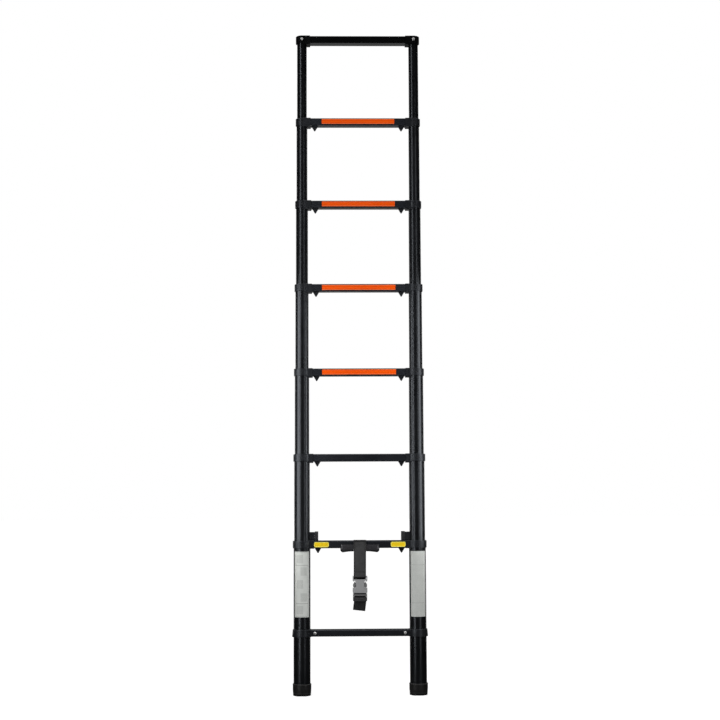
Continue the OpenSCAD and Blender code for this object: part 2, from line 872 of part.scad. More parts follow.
module buckle_plug() {
    base_w = cavity_w - 2 * tongue_gap;
    color(buckle_colour) translate([0, buckle_y, plug_joint]) {
        plug_frame();
        along_y(prong_t / 2) {
            translate([-base_w / 2, -plug_slot_top]) square([base_w, plug_slot_top + prong_base]);
            translate([-guide_rib_w / 2, 0]) square([guide_rib_w, guide_rib_top]);
        }
        plug_arm();
        mirror([1, 0, 0]) plug_arm();
    }
}

feet();
rung(1);  // bottom_rung
bottom_collars();
rung_screws();
at_left() plunger(2);  // plunger_2_left
at_right() plunger(2);  // plunger_2_right
release_housings();
at_left() release_knob();  // release_knob_left
at_right() release_knob();  // release_knob_right
release_plates();
tube_labels();
strap_loop();
strap_bundle();
strap_webbing();
buckle_socket();
buckle_plug();
for (k = [1 : 7]) tubes(k);
for (k = [2 : 8]) rung(k);
for (k = [2 : 7]) collars(k);
for (k = [3 : 7]) plungers(k);
for (k = [4 : 7]) band(k);
top_caps();
cap_screws();
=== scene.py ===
"""Looks of the telescopic ladder: finishes, webbing, films and studio light round the CAD frame."""
import json
import math

import bmesh
import bpy
from mathutils import Matrix, Vector


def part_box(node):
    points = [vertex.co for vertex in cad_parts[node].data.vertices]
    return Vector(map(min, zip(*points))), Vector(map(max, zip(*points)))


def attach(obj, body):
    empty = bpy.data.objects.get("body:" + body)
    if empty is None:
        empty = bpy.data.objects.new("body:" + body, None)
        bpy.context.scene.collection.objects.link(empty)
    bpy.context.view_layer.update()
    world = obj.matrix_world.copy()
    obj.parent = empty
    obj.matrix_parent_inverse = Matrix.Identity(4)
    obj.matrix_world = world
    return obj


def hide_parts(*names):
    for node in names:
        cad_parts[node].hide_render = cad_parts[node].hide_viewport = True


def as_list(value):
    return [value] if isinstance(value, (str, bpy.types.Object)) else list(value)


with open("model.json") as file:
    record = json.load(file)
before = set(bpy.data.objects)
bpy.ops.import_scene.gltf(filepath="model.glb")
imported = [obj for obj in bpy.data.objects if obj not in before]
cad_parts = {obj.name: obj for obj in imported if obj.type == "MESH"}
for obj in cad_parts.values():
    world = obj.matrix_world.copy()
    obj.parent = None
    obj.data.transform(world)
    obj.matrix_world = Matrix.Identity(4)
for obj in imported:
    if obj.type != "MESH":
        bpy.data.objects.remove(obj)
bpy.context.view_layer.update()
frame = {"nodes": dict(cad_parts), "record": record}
nodes = frame["nodes"]
scene = bpy.context.scene
MM = 0.001
ACROSS = Vector((1, 0, 0))
OUT = Vector((0, -1, 0))
UP = Vector((0, 0, 1))

# Camera, as the photograph sees the ladder
CAMERA_PLACE = Vector((-0.0824, -4.6, 0.6815))
CAMERA_YAW = math.radians(-1.0727)
CAMERA_PITCH = math.radians(5.685)
CAMERA_ROLL = math.radians(0.260)
CAMERA_LENS = 66.61
SENSOR = 36.0
CLIP_END = 60


def add_camera():
    data = bpy.data.cameras.new("camera")
    data.sensor_width = SENSOR
    data.lens = CAMERA_LENS
    data.clip_end = CLIP_END
    camera = bpy.data.objects.new("camera", data)
    scene.collection.objects.link(camera)
    turn = Matrix.Rotation(CAMERA_YAW, 3, "Z") @ Matrix.Rotation(CAMERA_PITCH, 3, "X")
    turn = turn @ Matrix.Rotation(CAMERA_ROLL, 3, "Y")
    right, forward, up = (turn @ Vector(axis) for axis in ((1, 0, 0), (0, 1, 0), (0, 0, 1)))
    camera.matrix_world = Matrix.Translation(CAMERA_PLACE) @ Matrix(
        (right, up, -forward)).transposed().to_4x4()
    scene.camera = camera


# Helpers for node materials

SPECULAR = "Specular IOR Level"
EVEN = (1, 1, 1)


def grey(level):
    return (level, level, level)


def new_material(name):
    material = bpy.data.materials.new(name)
    material.use_nodes = True
    return material, material.node_tree, material.node_tree.nodes["Principled BSDF"]


def add_node(tree, kind, **values):
    """A shader node with its properties set and, under inputs, its sockets."""
    node = tree.nodes.new(kind)
    for socket, value in values.pop("inputs", {}).items():
        node.inputs[socket].default_value = value
    for key, value in values.items():
        setattr(node, key, value)
    return node


def calc(tree, operation, *values):
    """A math node on sockets or plain numbers."""
    node = add_node(tree, "ShaderNodeMath", operation=operation)
    for socket, value in zip(node.inputs, values):
        if isinstance(value, (int, float)):
            socket.default_value = value
        else:
            tree.links.new(value, socket)
    return node.outputs[0]


def plus(tree, a, b):
    return calc(tree, "ADD", a, b)


def minus(tree, a, b):
    return calc(tree, "SUBTRACT", a, b)


def times(tree, a, b):
    return calc(tree, "MULTIPLY", a, b)


def size_of(tree, value):
    return calc(tree, "ABSOLUTE", value)


def highest(tree, sources):
    """The highest of some sockets."""
    top = sources[0]
    for source in sources[1:]:
        top = calc(tree, "MAXIMUM", top, source)
    return top


def waves(tree, source, pitch):
    """Rises from nothing to one and falls back within each pitch."""
    return size_of(tree, calc(tree, "SINE", times(tree, source, math.pi / pitch)))


def place_axes(tree, output="Object"):
    """X, Y and Z of the row frame, or of the UV map, as sockets."""
    place = add_node(tree, "ShaderNodeTexCoord")
    axes = add_node(tree, "ShaderNodeSeparateXYZ")
    tree.links.new(place.outputs[output], axes.inputs[0])
    return axes.outputs


def noise(tree, scale, detail=3.0, stretch=EVEN, output="Object"):
    """Noise in the row frame, or in the UV map, stretched by a scale for each axis."""
    place = add_node(tree, "ShaderNodeTexCoord")
    mapping = add_node(tree, "ShaderNodeMapping", inputs={"Scale": stretch})
    texture = add_node(tree, "ShaderNodeTexNoise", inputs={"Scale": scale, "Detail": detail})
    tree.links.new(place.outputs[output], mapping.inputs["Vector"])
    tree.links.new(mapping.outputs["Vector"], texture.inputs["Vector"])
    return texture.outputs["Fac"]


def ramp(tree, source, low, high, source_low=0.3, source_high=0.7):
    """Maps source to low..high from its own range, which is that of noise if none is given."""
    node = add_node(tree, "ShaderNodeMapRange", inputs={
        "From Min": source_low, "From Max": source_high, "To Min": low, "To Max": high})
    tree.links.new(source, node.inputs["Value"])
    return node.outputs["Result"]


def near(tree, source, centre, half, soft):
    """One within half of centre, falling to nothing over soft."""
    off = size_of(tree, minus(tree, source, centre))
    return ramp(tree, off, 1, 0, half, half + soft)


def tint(tree, source, dark, light):
    """A colour between dark and light, which are colours or sockets."""
    node = add_node(tree, "ShaderNodeMix", data_type="RGBA")
    for socket, value in (("A", dark), ("B", light)):
        if isinstance(value, tuple):
            node.inputs[socket].default_value = (*value, 1)
        else:
            tree.links.new(value, node.inputs[socket])
    tree.links.new(source, node.inputs["Factor"])
    return node.outputs["Result"]


def mottled(tree, source, dark, light):
    """A colour that wanders between dark and light with a noise."""
    return tint(tree, ramp(tree, source, 0, 1), dark, light)


def set_surface(tree, shader, colour, roughness, values):
    """Links a colour and a roughness to the shader and sets its even values."""
    tree.links.new(colour, shader.inputs["Base Color"])
    tree.links.new(roughness, shader.inputs["Roughness"])
    for socket, value in values.items():
        shader.inputs[socket].default_value = value


def bump(tree, shader, source, depth):
    node = add_node(tree, "ShaderNodeBump", inputs={"Strength": 1.0, "Distance": depth})
    tree.links.new(source, node.inputs["Height"])
    tree.links.new(node.outputs["Normal"], shader.inputs["Normal"])


# Finishes. The noises' scales are for a metre, and a RANGE is the part of its noise that counts.

COOL_GLOSS = (0.86, 0.92, 1.0, 1.0)

METAL_LINES = 900
METAL_LINE_DEPTH = 0.003 * MM
METAL_CLOUDS = 9
METAL_UNEVEN = (-0.03, 0.04)
SCRATCHES = 330
SCRATCH_RANGE = (0.66, 0.72)
SCRATCH_SHARE = 0.15
SCRATCHED = (0.05, 0.05, 0.052)
WEAR_PATCHES = 60
WEAR_STRETCH = (0.15, 1, 1)
WEAR_RANGE = (0.4, 0.7)
WEAR_MOST = 0.8
FACING_UP = (0.9, 0.99)
WORN = (0.045, 0.045, 0.047)


def drawn_aluminium(name, stretch, dark, light, roughness, gloss=0.6, worn_treads=False):
    """Satin black aluminium with drawing lines and fine rubbed scratches along one axis."""
    material, tree, shader = new_material(name)
    clouds = noise(tree, METAL_CLOUDS, 4)
    scratches = ramp(tree, noise(tree, SCRATCHES, 5, stretch), 0, 1, *SCRATCH_RANGE)
    colour = mottled(tree, clouds, dark, light)
    colour = tint(tree, times(tree, scratches, SCRATCH_SHARE), colour, SCRATCHED)
    if worn_treads:
        facing = add_node(tree, "ShaderNodeNewGeometry")
        normal = add_node(tree, "ShaderNodeSeparateXYZ")
        tree.links.new(facing.outputs["Normal"], normal.inputs[0])
        on_top = ramp(tree, normal.outputs["Z"], 0, 1, *FACING_UP)
        patches = noise(tree, WEAR_PATCHES, 5, WEAR_STRETCH)
        rubbed = ramp(tree, patches, 0, WEAR_MOST, *WEAR_RANGE)
        colour = tint(tree, times(tree, on_top, rubbed), colour, WORN)
    less, more = METAL_UNEVEN
    set_surface(tree, shader, colour, ramp(tree, clouds, roughness + less, roughness + more),
                {SPECULAR: gloss, "Specular Tint": COOL_GLOSS})
    bump(tree, shader, noise(tree, METAL_LINES, stretch=stretch), METAL_LINE_DEPTH)
    return material


MOULD_GRAIN = 1400
MOULD_CLOUDS = 25
MOULD_FLOW = 70
FLOW_STRETCH = (1, 1, 0.2)
MOULD_UNEVEN = 0.05


def moulded(name, dark, light, roughness, grain_depth, grain=MOULD_GRAIN, gloss=0.5):
    """Fine-grained moulded plastic, slightly uneven in gloss as it left the mould."""
    material, tree, shader = new_material(name)
    flow = noise(tree, MOULD_FLOW, 4, FLOW_STRETCH)
    set_surface(tree, shader, mottled(tree, noise(tree, MOULD_CLOUDS), dark, light),
                ramp(tree, flow, roughness - MOULD_UNEVEN, roughness + MOULD_UNEVEN),
                {SPECULAR: gloss, "Specular Tint": COOL_GLOSS})
    bump(tree, shader, noise(tree, grain, 2), grain_depth)
    return material


COLLAR_FINISH = ((0.006, 0.0064, 0.0078), (0.0095, 0.01, 0.0122), 0.4, 0.012 * MM)
DIMPLE_HALF = 5 * MM
DIMPLE_SOFT = 0.3 * MM
DIMPLE_SHADE = grey(0.001)
DIMPLE_ROUGHER = 0.3
RIVET_HALF = 2.4 * MM
RIVET_COLOUR = (0.022, 0.022, 0.024)
RING_TO_TOP = 14.1 * MM
FOOT_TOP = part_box("feet")[1][2]
FOOT_HALF = (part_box("feet")[1][1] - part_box("feet")[0][1]) / 2
STILE_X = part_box("feet")[1][0] - FOOT_HALF


def dimpled_plastic(name, node):
    """The collars' plastic, with painted shade in the round dimple in front of each tube, paler on
    its rivet.
    """
    material = moulded(name, *COLLAR_FINISH)
    tree = material.node_tree
    shader = tree.nodes["Principled BSDF"]
    axes = place_axes(tree)
    side = minus(tree, size_of(tree, axes["X"]), STILE_X)
    rise = minus(tree, axes["Z"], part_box(node)[1][2] - RING_TO_TOP)
    off = calc(tree, "SQRT", plus(tree, times(tree, side, side), times(tree, rise, rise)))
    # Painted shade: the dimple's recess is coloured darker than the plastic around it.
    shaded_hollow = near(tree, off, (DIMPLE_HALF + RIVET_HALF) / 2, (DIMPLE_HALF - RIVET_HALF) / 2,
                  DIMPLE_SOFT)
    rivet = near(tree, off, 0, RIVET_HALF - DIMPLE_SOFT, DIMPLE_SOFT)
    plain = shader.inputs["Base Color"].links[0].from_socket
    rough = shader.inputs["Roughness"].links[0].from_socket
    colour = tint(tree, shaded_hollow, tint(tree, rivet, plain, RIVET_COLOUR), DIMPLE_SHADE)
    set_surface(tree, shader, colour, plus(tree, rough, times(tree, shaded_hollow, DIMPLE_ROUGHER)), {})
    return material


SOLE_TOP = 7 * MM
SOLE_SOFT = 0.5 * MM
SOLE_BLACK_AND_SHADE = grey(0.002)
SOLE_LINE_UP = 1.4 * MM
SOLE_LINE_HALF = 0.5 * MM
FOOT_RIM = 0.8 * MM
FOOT_RIM_SOFT = 0.4 * MM
FOOT_DARK = grey(0.0075)
FOOT_LIGHT = grey(0.012)
FOOT_LINE_HIGHLIGHT = grey(0.03)
FOOT_ROUGH = (0.4, 0.9)
FOOT_CLOUDS = 40
FOOT_GRAIN = 900
FOOT_GRAIN_DEPTH = 0.03 * MM
SCUFFS = 240
SCUFF_STRETCH = (1, 1, 0.25)
SCUFF_RANGE = (0.6, 0.75)
SCUFF_MOST = 0.6
SCUFFED = (0.03, 0.03, 0.029)


def foot_rubber():
    """Black rubber: pale lines along the top rim and above the sole that are painted highlights, a
    blacker, rougher sole whose black is partly its own and partly painted shade, and faint scuffs.
    """
    material, tree, shader = new_material("black_rubber")
    height = place_axes(tree)["Z"]
    sole = ramp(tree, height, 1, 0, SOLE_TOP, SOLE_TOP + SOLE_SOFT)
    # Painted highlights: pale lines on the top rim's edge and on the step above the sole.
    lines = highest(tree, [
        near(tree, height, SOLE_TOP + SOLE_LINE_UP, SOLE_LINE_HALF, SOLE_LINE_HALF),
        near(tree, height, FOOT_TOP - FOOT_RIM, FOOT_RIM, FOOT_RIM_SOFT)])
    scuffs = ramp(tree, noise(tree, SCUFFS, 5, SCUFF_STRETCH), 0, SCUFF_MOST, *SCUFF_RANGE)
    colour = mottled(tree, noise(tree, FOOT_CLOUDS, 4), FOOT_DARK, FOOT_LIGHT)
    colour = tint(tree, scuffs, colour, SCUFFED)
    colour = tint(tree, lines, colour, FOOT_LINE_HIGHLIGHT)
    # The sole's black is partly the rubber's own and partly painted shade on the downward-facing
    # bottom.
    colour = tint(tree, sole, colour, SOLE_BLACK_AND_SHADE)
    set_surface(tree, shader, colour, ramp(tree, sole, *FOOT_ROUGH, 0, 1), {})
    bump(tree, shader, noise(tree, FOOT_GRAIN, 2), FOOT_GRAIN_DEPTH)
    return material


STEEL_MARKS = 900
STEEL_DARK, STEEL_LIGHT = (0.6, 0.6, 0.59), (0.78, 0.78, 0.77)
STEEL_ROUGH = (0.4, 0.5)


def screw_steel():
    """Bright plated steel with fine turning marks."""
    material, tree, shader = new_material("screw_steel")
    marks = noise(tree, STEEL_MARKS, 2)
    set_surface(tree, shader, mottled(tree, marks, STEEL_DARK, STEEL_LIGHT),
                ramp(tree, marks, *STEEL_ROUGH), {"Metallic": 0.75})
    return material


FINE_CLOUDS = 60
FINE_ROUGH = (0.36, 0.46)
PLUG_FADE = 9 * MM
PLUG_SHADE_BELOW, PLUG_INSIDE = (0.035, 0.035, 0.037), (0.17, 0.17, 0.173)
PLUG_DIRT = grey(0.03)
PLUG_DIRT_MOST = 0.25


def plug_plastic():
    """The buckle's lower half: like its upper half inside the windows, with painted shade darkening
    it below the joint.
    """
    material, tree, shader = new_material("plug_plastic")
    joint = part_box("buckle_socket")[0][2]
    shade = ramp(tree, place_axes(tree)["Z"], 0, 1, joint - PLUG_FADE, joint)
    clouds = noise(tree, FINE_CLOUDS)
    # Painted shade: the plastic goes darker below the joint.
    colour = tint(tree, shade, PLUG_SHADE_BELOW, PLUG_INSIDE)
    colour = tint(tree, ramp(tree, clouds, 0, PLUG_DIRT_MOST), colour, PLUG_DIRT)
    set_surface(tree, shader, colour, ramp(tree, clouds, *FINE_ROUGH), {})
    bump(tree, shader, noise(tree, MOULD_GRAIN, 2), 0.02 * MM)
    return material


FILM_CELL = 3.2 * MM
FILM_EDGE = 1.4 * MM
FILM_EDGE_HALF = 0.9 * MM
FILM_SOFT = 0.4 * MM
FILM_CLOUDS = 30
FILM_STRETCH = (0.3, 1, 1)
FILM_DARK, FILM_LIGHT = (0.66, 0.052, 0.0), (0.76, 0.072, 0.001)
FILM_WALL_RANGE = (0.08, 0.3)
FILM_WALLS = (0.25, (0.88, 0.13, 0.002))
FILM_MIDDLE = (0.4, (0.95, 0.15, 0.006))
FILM_EDGES = (0.7, (0.84, 0.19, 0.06))
FILM_ROUGH = (0.22, 0.3)


def reflective_film():
    """Orange reflective film: a lattice of small cells, paler along its edges and its middle."""
    material, tree, shader = new_material("orange_film")
    axes = place_axes(tree)
    low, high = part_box("band_4")
    height = high[2] - low[2]
    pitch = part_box("band_5")[0][2] - low[2]
    up = calc(tree, "MODULO", minus(tree, axes["Z"], low[2] - FILM_CELL), pitch)
    up = minus(tree, up, FILM_CELL)
    walls = highest(tree, [
        ramp(tree, waves(tree, calc(tree, sign, axes["X"], up), FILM_CELL), 1, 0, *FILM_WALL_RANGE)
        for sign in ("ADD", "SUBTRACT")])
    off_middle = size_of(tree, minus(tree, up, height / 2))
    edges = near(tree, off_middle, height / 2 - FILM_EDGE, FILM_EDGE_HALF, FILM_SOFT)
    middle = near(tree, off_middle, 0, FILM_EDGE_HALF, FILM_SOFT)
    colour = mottled(tree, noise(tree, FILM_CLOUDS, stretch=FILM_STRETCH), FILM_DARK, FILM_LIGHT)
    for where, (share, paler) in ((walls, FILM_WALLS), (middle, FILM_MIDDLE), (edges, FILM_EDGES)):
        colour = tint(tree, times(tree, where, share), colour, paler)
    set_surface(tree, shader, colour, ramp(tree, walls, *FILM_ROUGH, 0, 1), {SPECULAR: 0.1})
    bump(tree, shader, walls, 0.04 * MM)
    return material


PLATE_EDGE = 2.3 * MM
PLATE_SOFT = 0.6 * MM
PLATE_GRAIN = 1200
PLATE_DARK, PLATE_LIGHT = (0.76, 0.52, 0.001), (0.84, 0.58, 0.002)
PLATE_RIM_HIGHLIGHT = (0.95, 0.87, 0.16)


def yellow_plastic():
    """Yellow moulded plates, deeper inside a paler edge that is a painted highlight on their raised
    rim.
    """
    material, tree, shader = new_material("yellow_plastic")
    low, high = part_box("release_plates")
    inner = min(v.co.x for v in nodes["release_plates"].data.vertices if v.co.x > 0)
    plate_w, plate_h = high[0] - inner, high[2] - low[2]
    axes = place_axes(tree)
    inside = times(
        tree,
        near(tree, size_of(tree, axes["X"]), high[0] - plate_w / 2, plate_w / 2 - PLATE_EDGE,
             PLATE_SOFT),
        near(tree, axes["Z"], (low[2] + high[2]) / 2, plate_h / 2 - PLATE_EDGE, PLATE_SOFT))
    clouds = noise(tree, FINE_CLOUDS)
    # Painted highlight: the paler colour along the plate's raised rim.
    colour = tint(tree, inside, PLATE_RIM_HIGHLIGHT, mottled(tree, clouds, PLATE_DARK, PLATE_LIGHT))
    set_surface(tree, shader, colour, ramp(tree, clouds, *FINE_ROUGH), {SPECULAR: 0.3})
    bump(tree, shader, noise(tree, PLATE_GRAIN, 2), 0.01 * MM)
    return material


LABEL_INSET = 3 * MM
LABEL_LINE = 0.35 * MM
LABEL_DIVISIONS = (-1, -0.6, 0.6, 1)
LABEL_RULING = 2.8 * MM
RULE_RANGE = (0.3, 0.5)
RULE_STRENGTH = 0.9
LABEL_BLOCKS = 5
BLOCK_ASIDE, BLOCK_HALF_W, BLOCK_HALF_H = 0.3, 0.5, 0.13
PAPER_DARK, PAPER_LIGHT = (0.56, 0.58, 0.555), (0.61, 0.625, 0.6)
LABEL_INK = (0.2, 0.21, 0.2)
LABEL_ROUGH = (0.36, 0.44)


def label_film():
    """Pale tube labels with a thin plain frame, two dividing lines and fine empty ruling, in blocks
    on the left label and all the way down the right one."""
    material, tree, shader = new_material("pale_film")
    axes = place_axes(tree)
    low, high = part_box("tube_labels")
    side = minus(tree, size_of(tree, axes["X"]), STILE_X)
    half_w = high[0] - STILE_X - LABEL_INSET
    middle, half_h = (low[2] + high[2]) / 2, (high[2] - low[2]) / 2 - LABEL_INSET

    def patch(across, half_across, rise, half_rise):
        """One inside a rectangle on each label."""
        return times(tree, near(tree, side, across, half_across, LABEL_LINE),
                     near(tree, axes["Z"], rise, half_rise, LABEL_LINE))

    lines = highest(tree, [near(tree, size_of(tree, side), half_w, LABEL_LINE, LABEL_LINE)] + [
        near(tree, axes["Z"], middle + half_h * share, LABEL_LINE, LABEL_LINE)
        for share in LABEL_DIVISIONS])
    blocks = highest(tree, [
        patch((-1) ** i * half_w * BLOCK_ASIDE, half_w * BLOCK_HALF_W,
              middle + half_h * (1 - (2 * i + 1) / LABEL_BLOCKS), half_h * BLOCK_HALF_H)
        for i in range(LABEL_BLOCKS)])
    column = patch(0, half_w - LABEL_INSET, middle, half_h - LABEL_INSET)
    on_right = ramp(tree, axes["X"], 0, 1, -LABEL_INSET, LABEL_INSET)
    where = plus(tree, times(tree, column, on_right),
                 times(tree, blocks, minus(tree, 1.0, on_right)))
    rules = ramp(tree, waves(tree, axes["Z"], LABEL_RULING), RULE_STRENGTH, 0, *RULE_RANGE)
    ink = times(tree, highest(tree, [lines, times(tree, rules, where)]),
                patch(0, half_w, middle, half_h))
    clouds = noise(tree, FINE_CLOUDS)
    paper = mottled(tree, clouds, PAPER_DARK, PAPER_LIGHT)
    set_surface(tree, shader, tint(tree, ink, paper, LABEL_INK), ramp(tree, clouds, *LABEL_ROUGH),
                {SPECULAR: 0.3})
    return material


WEBBING_W = 42 * MM
WEAVE_RIB = 1.5 * MM
WEAVE_PICK = 0.9 * MM
WEAVE_SLANT = 0.8
RIB_SHARE, PICK_SHARE = 0.6, 0.4
WEAVE_DEPTH = 0.18 * MM
FIBRES = 2500
FIBRE_STRETCH = (1, 0.2, 1)
FIBRE_ROUGH = (0.7, 0.95)
FADING = 40
FADED_SHARE, FADED = 0.35, 1.5
EDGE_SHADE_INSET = 3.4 * MM
EDGE_SHADE_HALF = 1.1 * MM
EDGE_SHADE_SOFT = 0.5 * MM
EDGE_SHADE_SHARE = 0.8
STRETCH_SOFT = 2 * MM


def woven(name, dark, light, painted_edge_shade=True, stretches=()):
    """Webbing from a UV map in metres: ribs along its length crossed by slanted picks, two darker
    stripes near its edges that are painted shade of its rounded edges, and stretches (middle, half
    length, shade) of painted shade or painted light along its length."""
    material, tree, shader = new_material(name)
    axes = place_axes(tree, "UV")
    ribs = waves(tree, axes["X"], WEAVE_RIB)
    slant = times(tree, calc(tree, "PINGPONG", axes["X"], WEAVE_RIB), WEAVE_SLANT)
    picks = waves(tree, plus(tree, axes["Y"], slant), WEAVE_PICK)
    height = plus(tree, times(tree, ribs, RIB_SHARE), times(tree, picks, PICK_SHARE))
    fading = ramp(tree, noise(tree, FADING, 4, output="UV"), 0, FADED_SHARE)
    colour = tint(tree, height, dark, light)
    colour = tint(tree, fading, colour, tuple(FADED * c for c in light))
    # Painted shade: two darker stripes near the edges stand in for the shading of the rounded
    # edges.
    if painted_edge_shade:
        off = size_of(tree, minus(tree, axes["X"], WEBBING_W / 2))
        edge_shade_band = near(tree, off, WEBBING_W / 2 - EDGE_SHADE_INSET, EDGE_SHADE_HALF, EDGE_SHADE_SOFT)
        colour = tint(tree, times(tree, edge_shade_band, EDGE_SHADE_SHARE), colour, dark)
    # Each stretch paints shade or light along the webbing's length.
    for middle, half, shade in stretches:
        colour = tint(tree, near(tree, axes["Y"], middle, half, STRETCH_SOFT), colour, shade)
    fibres = noise(tree, FIBRES, 2, FIBRE_STRETCH, "UV")
    set_surface(tree, shader, colour, ramp(tree, fibres, *FIBRE_ROUGH),
                {SPECULAR: 0.25, "Sheen Weight": 0.15, "Sheen Roughness": 0.4})
    bump(tree, shader, height, WEAVE_DEPTH)
    return material


THREAD_TWIST = 2600
THREAD_ROUGH = (0.55, 0.7)


def sewing_thread(name, dark, light):
    """Twisted thread."""
    material, tree, shader = new_material(name)
    twist = noise(tree, THREAD_TWIST, 1)
    set_surface(tree, shader, mottled(tree, twist, dark, light),
                ramp(tree, twist, *THREAD_ROUGH), {})
    bump(tree, shader, twist, 0.05 * MM)
    return material


# Helpers for soft pieces


def rounded_path(corners, radius, steps=6):
    """The points of a run of straight lines whose corners are rounded where there is room."""
    out = [corners[0]]
    for before, corner, after in zip(corners, corners[1:], corners[2:]):
        back, on = before - corner, after - corner
        half_angle = back.angle(on) / 2
        room = 0.5 * min(back.length, on.length)
        trim = min(radius / math.tan(half_angle), room)
        inwards = (back.normalized() + on.normalized()).normalized()
        centre = corner + inwards * (trim / math.cos(half_angle))
        start = corner + back.normalized() * trim - centre
        end = corner + on.normalized() * trim - centre
        for i in range(steps + 1):
            out.append(centre + start.slerp(end, i / steps).normalized() * start.length)
    out.append(corners[-1])
    return out


SAME_POINT = 1e-6


def with_steps(points, step):
    """The same path with extra points, so that no stretch is longer than step."""
    out = [points[0]]
    for a, b in zip(points, points[1:]):
        parts = max(1, math.ceil((b - a).length / step))
        out.extend(a.lerp(b, i / parts) for i in range(1, parts + 1))
    return [p for i, p in enumerate(out) if i == 0 or (p - out[i - 1]).length > SAME_POINT]


def tangents(points):
    last = len(points) - 1
    return [(points[min(i + 1, last)] - points[max(i - 1, 0)]).normalized()
            for i in range(last + 1)]


def path_length(path):
    return sum((b - a).length for a, b in zip(path, path[1:]))


def length_to(path, found):
    """How far along a path the first point lies that passes a test."""
    return path_length(path[:next(i for i, point in enumerate(path) if found(point)) + 1])


SHARP_EDGE = math.radians(50)


def mesh_of(name, points, faces):
    mesh = bpy.data.meshes.new(name)
    mesh.from_pydata([tuple(p) for p in points], [], faces)
    mesh.update()
    return mesh


def finish_mesh(name, mesh):
    """Points the faces outwards, smooths them and puts the mesh on the ladder's base."""
    work = bmesh.new()
    work.from_mesh(mesh)
    bmesh.ops.recalc_face_normals(work, faces=work.faces)
    work.to_mesh(mesh)
    work.free()
    mesh.shade_smooth()
    mesh.set_sharp_from_angle(angle=SHARP_EDGE)
    piece = bpy.data.objects.new(name, mesh)
    scene.collection.objects.link(piece)
    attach(piece, "base")
    return piece


RIM_STEPS = 3
RIBBON_COLUMNS = 14


def ribbon(name, rows, thickness):
    """A band through rows of (one edge, other edge, normal, bulge), with rounded edges and a UV map
    in metres."""
    half = thickness / 2
    points, along_across, faces = [], [], []
    along, previous = 0.0, None
    for low, high, normal, bulge in rows:
        middle = (low + high) / 2
        along += (middle - previous).length if previous is not None else 0.0
        previous = middle
        width = (high - low).length
        across = (high - low).normalized()
        ring = []
        for side in (1, -1):
            for i in range(RIBBON_COLUMNS + 1):
                s = half + (width - 2 * half) * i / RIBBON_COLUMNS
                ring.append((s if side > 0 else width - s, side * half))
            for i in range(1, RIM_STEPS + 1):
                a = math.pi * i / (RIM_STEPS + 1)
                s = half * math.sin(a)
                ring.append((width - half + s if side > 0 else half - s, side * half * math.cos(a)))
        for s, lift in ring:
            belly = bulge * (1 - (2 * s / width - 1) ** 2)
            points.append(low + across * s + normal * (lift + belly))
            along_across.append((s, along))
    size = len(points) // len(rows)
    for r in range(len(rows) - 1):
        for i in range(size):
            j = (i + 1) % size
            faces.append((r * size + i, r * size + j, (r + 1) * size + j, (r + 1) * size + i))
    faces.append(tuple(reversed(range(size))))
    faces.append(tuple(range((len(rows) - 1) * size, len(rows) * size)))
    mesh = mesh_of(name, points, faces)
    weave = mesh.uv_layers.new(name="weave")
    for loop in mesh.loops:
        weave.data[loop.index].uv = along_across[loop.vertex_index]
    return finish_mesh(name, mesh)


# Each ring of a stitch: how far along it lies and its share of the thread's radius
STITCH_SIDES = 6
STITCH_RINGS = ((0.0, 0.35), (0.18, 0.85), (0.5, 1.0), (0.82, 0.85), (1.0, 0.35))
STITCH_GAP = 0.5 * MM


def stitch_rows(name, lines, length, radius, thread):
    """A piece of stitches: threads that dip at both ends, along (start, end, normal) lines."""
    points, faces = [], []
    for start, end, normal in lines:
        run = end - start
        count = max(1, round(run.length / (length + STITCH_GAP)))
        along = run.normalized()
        across = along.cross(normal).normalized()
        pitch = run.length / count
        for i in range(count):
            first = len(points)
            for share, size in STITCH_RINGS:
                centre = start + along * (pitch * i + STITCH_GAP / 2 + (pitch - STITCH_GAP) * share)
                centre = centre + normal * (radius * (size - 1.0))
                for k in range(STITCH_SIDES):
                    a = 2 * math.pi * k / STITCH_SIDES
                    off = across * math.cos(a) + normal * math.sin(a)
                    points.append(centre + off * radius * size)
            for ring in range(len(STITCH_RINGS) - 1):
                row = first + ring * STITCH_SIDES
                for k in range(STITCH_SIDES):
                    a, b = row + k, row + (k + 1) % STITCH_SIDES
                    faces.append((a, b, b + STITCH_SIDES, a + STITCH_SIDES))
            faces.append(tuple(reversed(range(first, first + STITCH_SIDES))))
            faces.append(tuple(range(len(points) - STITCH_SIDES, len(points))))
    piece = finish_mesh(name, mesh_of(name, points, faces))
    piece.data.materials.append(thread)
    return piece


def upright(y, z):
    return Vector((0, y, z))


def webbing_rows(path, move):
    """Rows of a ribbon whose middle follows a path in the plane across the ladder, each moved."""
    half = ACROSS * WEBBING_W / 2
    return [move([point - half, point + half, tangent.cross(ACROSS), 0.0])
            for point, tangent in zip(path, tangents(path))]


# Strap and tail: the webbing, the buckle's bars and slots, and how the webbing is sewn

WEBBING_T = 1.3 * MM
FOLD_R = 1.3 * MM
ROUND_RUNG_R = 4 * MM
SEAT = 0.15 * MM
SOCKET_BAR_H = 5 * MM
SOCKET_BAR_T = 5 * MM
SOCKET_SLOT_H = 7 * MM
STITCH_ABOVE = 13.5 * MM
STRAP_STEP = 5 * MM
STRAP_SHIFT = 0.6 * MM
RIPPLE = 0.25 * MM
RIPPLES = 5
UNDER_END = 5 * MM
SEWN_END = 6 * MM


